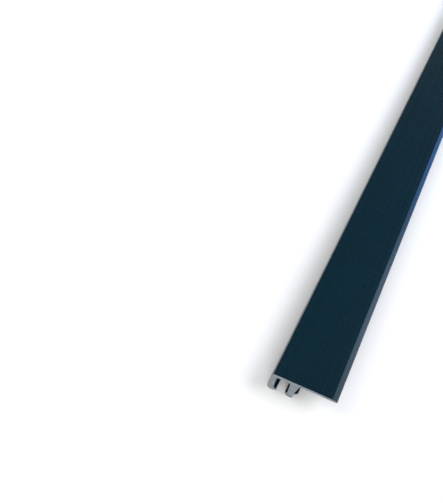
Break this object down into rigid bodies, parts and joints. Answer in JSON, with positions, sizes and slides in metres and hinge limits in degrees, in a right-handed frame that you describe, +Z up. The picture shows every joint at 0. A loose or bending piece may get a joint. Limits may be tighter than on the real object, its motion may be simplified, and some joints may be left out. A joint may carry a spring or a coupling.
{
  "type": "f-shaped trim profile",
  "caption": "Length of extruded rigid PVC trim with an F-shaped section: a flat face plate, a bowed and hooked edge leg, and a wedge-shaped middle leg with a barbed foot, with a channel between the legs.",
  "frame": {"origin": "middle of the length and of the whole width, on the surface that the two feet stand on", "axes": "+Y along the length, +X from the hooked edge leg towards the free flange, +Z up through the face plate, which is on top"},
  "size_m": [0.0318, 1, 0.013],
  "materials": {
    "dark_pvc": "through-coloured dark slate-blue rigid PVC with a satin extruded skin, lighter and matt on the two sawn ends"
  },
  "bodies": {
    "root": {"f_profile": "dark_pvc"}
  },
  "joints": []
}
